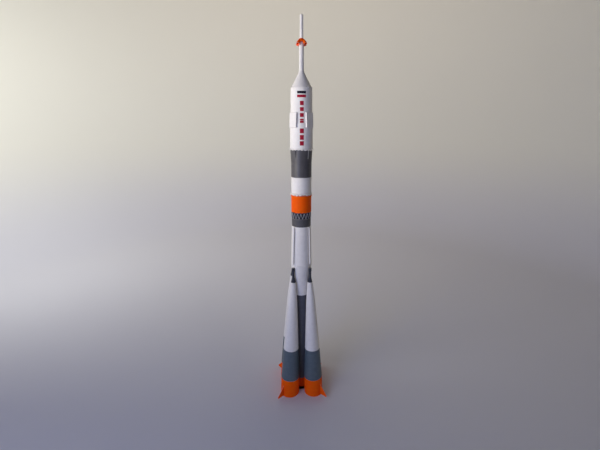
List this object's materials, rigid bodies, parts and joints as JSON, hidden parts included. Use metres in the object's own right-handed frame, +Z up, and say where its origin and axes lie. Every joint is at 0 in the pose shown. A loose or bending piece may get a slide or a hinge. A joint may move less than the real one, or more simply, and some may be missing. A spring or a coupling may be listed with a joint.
{
  "type": "card display model of a space rocket",
  "caption": "Upright scale model of a space rocket in rolled card: a slim central stack with a fairing and escape tower, and leaning boosters with tail fins round its foot.",
  "frame": {"origin": "centre of the footprint, on the surface that the booster skirts stand on", "axes": "+Z up along the central stack; the marked side of the fairing faces -Y; the boosters stand between the X and Y directions"},
  "size_m": [0.0968, 0.0968, 0.6875],
  "materials": {
    "white_card": "matte printed card, white",
    "orange_card": "matte printed card, orange",
    "dark_grey_card": "matte printed card, dark grey",
    "blue_grey_card": "matte printed card, blue grey",
    "navy_card": "matte printed card, navy grey",
    "grey_strut_card": "matte printed card, mid grey"
  },
  "bodies": {
    "root": {"escape_spire_tip": "white_card", "escape_spire_rod": "white_card", "escape_crown": "orange_card", "escape_tube": "white_card", "nose_cone": "white_card", "fairing_upper": "white_card", "fairing_lower": "white_card", "fairing_foot_rim": "white_card", "grid_fin_1": "white_card", "grid_fin_2": "white_card", "grid_fin_3": "white_card", "grid_fin_4": "white_card", "adapter_cone": "dark_grey_card", "adapter_tube": "dark_grey_card", "upper_stage_lip": "white_card", "upper_stage_tube": "white_card", "upper_stage_rim": "white_card", "upper_stage_tail": "orange_card", "interstage_drum": "dark_grey_card", "interstage_struts": "grey_strut_card", "interstage_band": "dark_grey_card", "core_collar": "white_card", "core_upper_tank": "white_card", "core_rail_1": "white_card", "core_rail_2": "white_card", "core_rail_3": "white_card", "core_rail_4": "white_card", "core_waist": "white_card", "core_waist_collar": "white_card", "core_tube": "blue_grey_card", "core_skirt": "orange_card", "core_engines": "dark_grey_card", "booster_1_tip": "navy_card", "booster_1_upper_cone": "white_card", "booster_1_lower_cone": "blue_grey_card", "booster_1_skirt": "orange_card", "booster_1_engines": "dark_grey_card", "booster_1_fin": "orange_card", "booster_2_tip": "navy_card", "booster_2_upper_cone": "white_card", "booster_2_lower_cone": "blue_grey_card", "booster_2_skirt": "orange_card", "booster_2_engines": "dark_grey_card", "booster_2_fin": "orange_card", "booster_3_tip": "navy_card", "booster_3_upper_cone": "white_card", "booster_3_lower_cone": "blue_grey_card", "booster_3_skirt": "orange_card", "booster_3_engines": "dark_grey_card", "booster_3_fin": "orange_card", "booster_4_tip": "navy_card", "booster_4_upper_cone": "white_card", "booster_4_lower_cone": "blue_grey_card", "booster_4_skirt": "orange_card", "booster_4_engines": "dark_grey_card", "booster_4_fin": "orange_card"}
  },
  "joints": []
}
